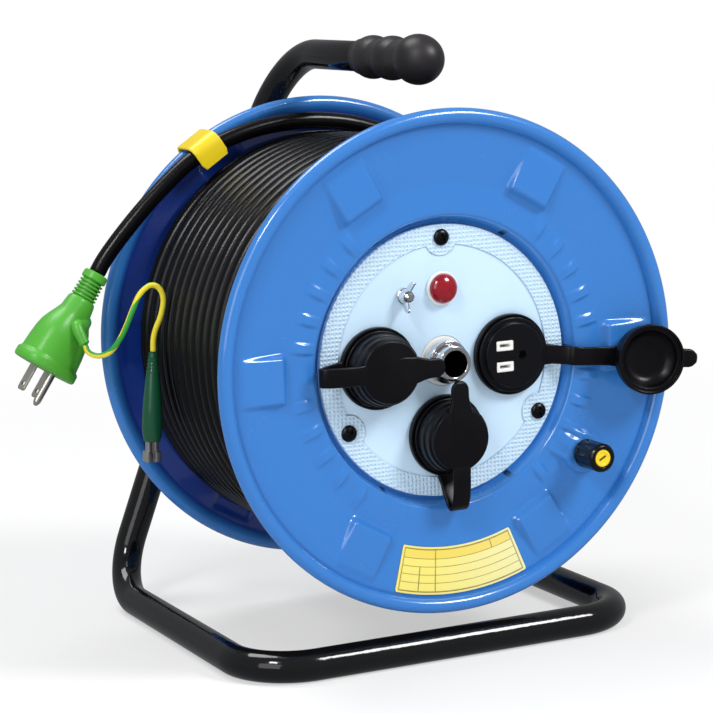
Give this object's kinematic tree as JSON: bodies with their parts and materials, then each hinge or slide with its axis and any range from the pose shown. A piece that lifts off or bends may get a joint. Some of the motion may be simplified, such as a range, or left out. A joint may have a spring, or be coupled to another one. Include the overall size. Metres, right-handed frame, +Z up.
{
  "type": "extension cord reel",
  "caption": "Cord reel with a pressed steel drum, a socket panel under rubber caps, a winding knob and a stand of bent tube with a grip handle.",
  "frame": {"origin": "on the floor, under the middle of the bounds of the stand and drum", "axes": "+X to the right as the socket panel is seen, +Y from the socket panel towards the stand's legs, +Z up"},
  "size_m": [0.3751, 0.2804, 0.3718],
  "materials": {
    "blue_paint": "gloss enamel",
    "pale_plastic": "satin, lightly grained",
    "black_paint": "gloss enamel",
    "black_plastic": "satin",
    "black_screw": "black oxide",
    "rubber": "matte",
    "cord_black": "satin sheath",
    "white_plastic": "satin",
    "yellow_plastic": "satin",
    "sticker_yellow": "printed film",
    "green_plastic": "satin",
    "boot_green": "gloss vinyl",
    "lead_green": "satin vinyl",
    "red_lens": "clear gloss",
    "chrome": "polished",
    "zinc": "zinc plate",
    "nickel": "nickel plate"
  },
  "bodies": {
    "stand": {"stand_tube": "black_paint", "hand_grip": "rubber", "axle_plate": "black_paint", "plate_bolt_left": "zinc", "plate_bolt_right": "zinc", "axle_tube": "chrome", "hub_collar": "chrome", "axle_spacer": "zinc", "axle_nut": "zinc", "free_cord": "cord_black", "rim_clip": "yellow_plastic", "plug_body": "green_plastic", "plug_blade_a": "nickel", "plug_blade_b": "nickel", "plug_earth_pin": "nickel", "earth_lead": "lead_green", "earth_boot": "boot_green", "earth_clip": "nickel"},
    "drum": {"front_flange": "blue_paint", "rear_flange": "blue_paint", "drum_barrel": "blue_paint", "cable_grommet": "rubber", "tie_rod_1": "zinc", "tie_rod_2": "zinc", "tie_rod_3": "zinc", "winding_core": "cord_black", "winding_turns": "cord_black", "outlet_panel": "pale_plastic", "panel_screw_1": "black_screw", "panel_screw_2": "black_screw", "panel_screw_3": "black_screw", "outlet_right": "black_plastic", "outlet_left": "black_plastic", "outlet_lower": "black_plastic", "slot_insert_right_a": "white_plastic", "slot_insert_right_b": "white_plastic", "slot_insert_left_a": "white_plastic", "slot_insert_left_b": "white_plastic", "slot_insert_lower_a": "white_plastic", "slot_insert_lower_b": "white_plastic", "cap_ring_right": "rubber", "cap_ring_left": "rubber", "cap_ring_lower": "rubber", "lamp_bezel": "white_plastic", "lamp_lens": "red_lens", "earth_stud": "chrome", "terminal_block": "black_plastic", "knob_pin": "zinc", "sticker": "sticker_yellow", "front_bush": "white_plastic", "rear_bush": "black_plastic"},
    "knob": {"winding_knob": "black_plastic", "knob_cap": "yellow_plastic"},
    "wing_nut": {"wing_nut": "chrome"},
    "cap_right": {"outlet_cap_right": "rubber"},
    "cap_left": {"outlet_cap_left": "rubber"},
    "cap_lower": {"outlet_cap_lower": "rubber"}
  },
  "joints": [
    {"name": "drum_spin", "type": "hinge", "parent": "stand", "child": "drum", "pos_m": [-0.00732, -0.12293, 0.1805], "axis": [0, 1, 0], "continuous": true},
    {"name": "knob_spin", "type": "hinge", "parent": "drum", "child": "knob", "pos_m": [0.08223, -0.12293, 0.11662], "axis": [0, 1, 0], "continuous": true},
    {"name": "wing_nut_turn", "type": "hinge", "parent": "drum", "child": "wing_nut", "pos_m": [-0.03282, -0.12293, 0.2215], "axis": [0, 1, 0], "continuous": true},
    {"name": "cap_right_hinge", "type": "hinge", "parent": "drum", "child": "cap_right", "pos_m": [0.07958, -0.12073, 0.17642], "axis": [0.0958, 0, 0.9954], "range_deg": [-169.5, 0]},
    {"name": "cap_left_hinge", "type": "hinge", "parent": "drum", "child": "cap_left", "pos_m": [-0.09442, -0.12073, 0.1805], "axis": [0, 0, -1], "range_deg": [0, 169.5]},
    {"name": "cap_lower_hinge", "type": "hinge", "parent": "drum", "child": "cap_lower", "pos_m": [-0.00732, -0.12073, 0.0934], "axis": [1, 0, 0], "range_deg": [0, 169.5]}
  ]
}
